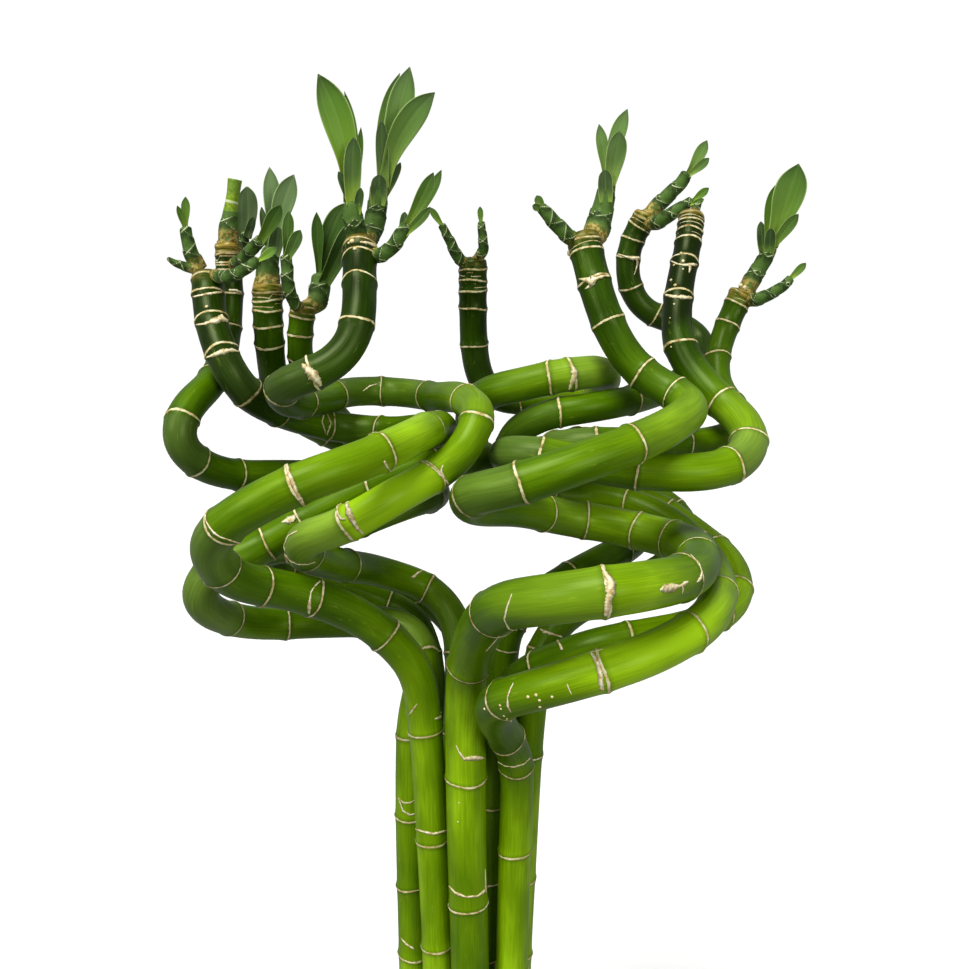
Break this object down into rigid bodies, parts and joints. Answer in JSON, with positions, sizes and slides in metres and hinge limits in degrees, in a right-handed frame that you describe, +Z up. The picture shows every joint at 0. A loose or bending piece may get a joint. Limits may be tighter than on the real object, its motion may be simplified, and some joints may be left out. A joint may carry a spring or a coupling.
{
  "type": "lucky bamboo in a vase",
  "caption": "Bunch of curled lucky bamboo stalks with leafy shoots at their cut tops, standing in gravel in a plain cylindrical vase.",
  "frame": {"origin": "centre of the vase's flat underside", "axes": "+Z up along the vase; -Y is the front of the bunch and +X its right as seen from the front"},
  "size_m": [0.2571, 0.2004, 0.571],
  "materials": {
    "stalk_01": "living green stem, waxy",
    "stalk_02": "living green stem, waxy",
    "stalk_03": "living green stem, waxy",
    "stalk_04": "living green stem, waxy",
    "stalk_05": "living green stem, waxy",
    "stalk_06": "living green stem, waxy",
    "stalk_07": "living green stem, waxy",
    "stalk_08": "living green stem, waxy",
    "stalk_09": "living green stem, waxy",
    "stalk_10": "living green stem, waxy",
    "shoot_01_left_bud": "soft leafy shoot, satin",
    "shoot_01_upright": "soft leafy shoot, satin",
    "shoot_01_right": "soft leafy shoot, satin",
    "shoot_02_stub": "soft shoot with a cut top, satin",
    "shoot_02_leaf": "soft leafy shoot, satin",
    "shoot_02_right": "soft leafy shoot, satin",
    "shoot_03_main": "soft leafy shoot, satin",
    "shoot_03_bud": "soft leafy shoot, satin",
    "shoot_04_left": "soft leafy shoot, satin",
    "shoot_04_right": "soft leafy shoot, satin",
    "shoot_05_left": "soft leafy shoot, satin",
    "shoot_05_middle": "soft leafy shoot, satin",
    "shoot_05_right": "soft leafy shoot, satin",
    "shoot_06_left": "soft leafy shoot, satin",
    "shoot_06_right": "soft leafy shoot, satin",
    "shoot_07_left": "soft leafy shoot, satin",
    "shoot_07_right": "soft leafy shoot, satin",
    "shoot_08_upper": "soft leafy shoot, satin",
    "shoot_08_lower": "soft leafy shoot, satin",
    "shoot_09_tip": "soft leafy shoot, satin",
    "shoot_10_main": "soft leafy shoot, satin",
    "shoot_10_right": "soft leafy shoot, satin",
    "vase": "off-white glazed stoneware, gloss",
    "gravel": "pale washed pebbles, matt"
  },
  "bodies": {
    "root": {"stalk_01": "stalk_01", "stalk_02": "stalk_02", "stalk_03": "stalk_03", "stalk_04": "stalk_04", "stalk_05": "stalk_05", "stalk_06": "stalk_06", "stalk_07": "stalk_07", "stalk_08": "stalk_08", "stalk_09": "stalk_09", "stalk_10": "stalk_10", "shoot_01_left_bud": "shoot_01_left_bud", "shoot_01_upright": "shoot_01_upright", "shoot_01_right": "shoot_01_right", "shoot_02_stub": "shoot_02_stub", "shoot_02_leaf": "shoot_02_leaf", "shoot_02_right": "shoot_02_right", "shoot_03_main": "shoot_03_main", "shoot_03_bud": "shoot_03_bud", "shoot_04_left": "shoot_04_left", "shoot_04_right": "shoot_04_right", "shoot_05_left": "shoot_05_left", "shoot_05_middle": "shoot_05_middle", "shoot_05_right": "shoot_05_right", "shoot_06_left": "shoot_06_left", "shoot_06_right": "shoot_06_right", "shoot_07_left": "shoot_07_left", "shoot_07_right": "shoot_07_right", "shoot_08_upper": "shoot_08_upper", "shoot_08_lower": "shoot_08_lower", "shoot_09_tip": "shoot_09_tip", "shoot_10_main": "shoot_10_main", "shoot_10_right": "shoot_10_right", "vase": "vase", "gravel": "gravel"}
  },
  "joints": []
}
